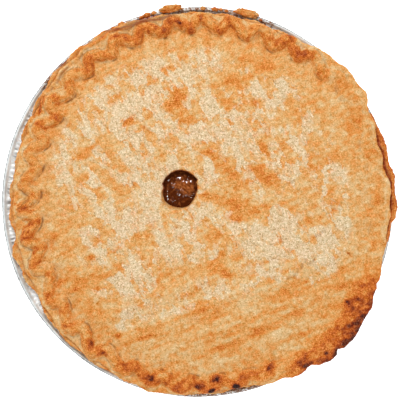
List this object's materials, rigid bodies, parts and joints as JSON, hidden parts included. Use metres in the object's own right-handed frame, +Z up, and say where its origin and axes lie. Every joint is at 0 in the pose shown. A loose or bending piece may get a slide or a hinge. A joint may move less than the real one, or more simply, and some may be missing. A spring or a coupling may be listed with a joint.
{
  "type": "apple pie in a foil tin",
  "caption": "Whole baked apple pie in a round foil tin: a floured pastry lid with a vent hole over dark filling, and a pinched, unevenly browned rim.",
  "frame": {"origin": "middle of the tin's flat underside", "axes": "+Z up out of the pie; +X to the side where the base crust shows past the lid; +Y towards the side with the flakes on the bead"},
  "size_m": [0.2469, 0.2468, 0.0444],
  "materials": {
    "foil": "bright thin foil, finely pleated",
    "base_pastry": "baked shortcrust, golden brown",
    "apple_filling": "cooked apple in dark glossy syrup",
    "lid_pastry": "baked shortcrust, dusted with flour, browned on the raised edge and burnt at one side",
    "overflow": "pastry and syrup baked hard"
  },
  "bodies": {
    "root": {"foil_tin": "foil", "base_crust": "base_pastry", "apple_filling": "apple_filling", "top_crust": "lid_pastry", "overflow_flake_left": "overflow", "overflow_flake_right": "overflow"}
  },
  "joints": []
}
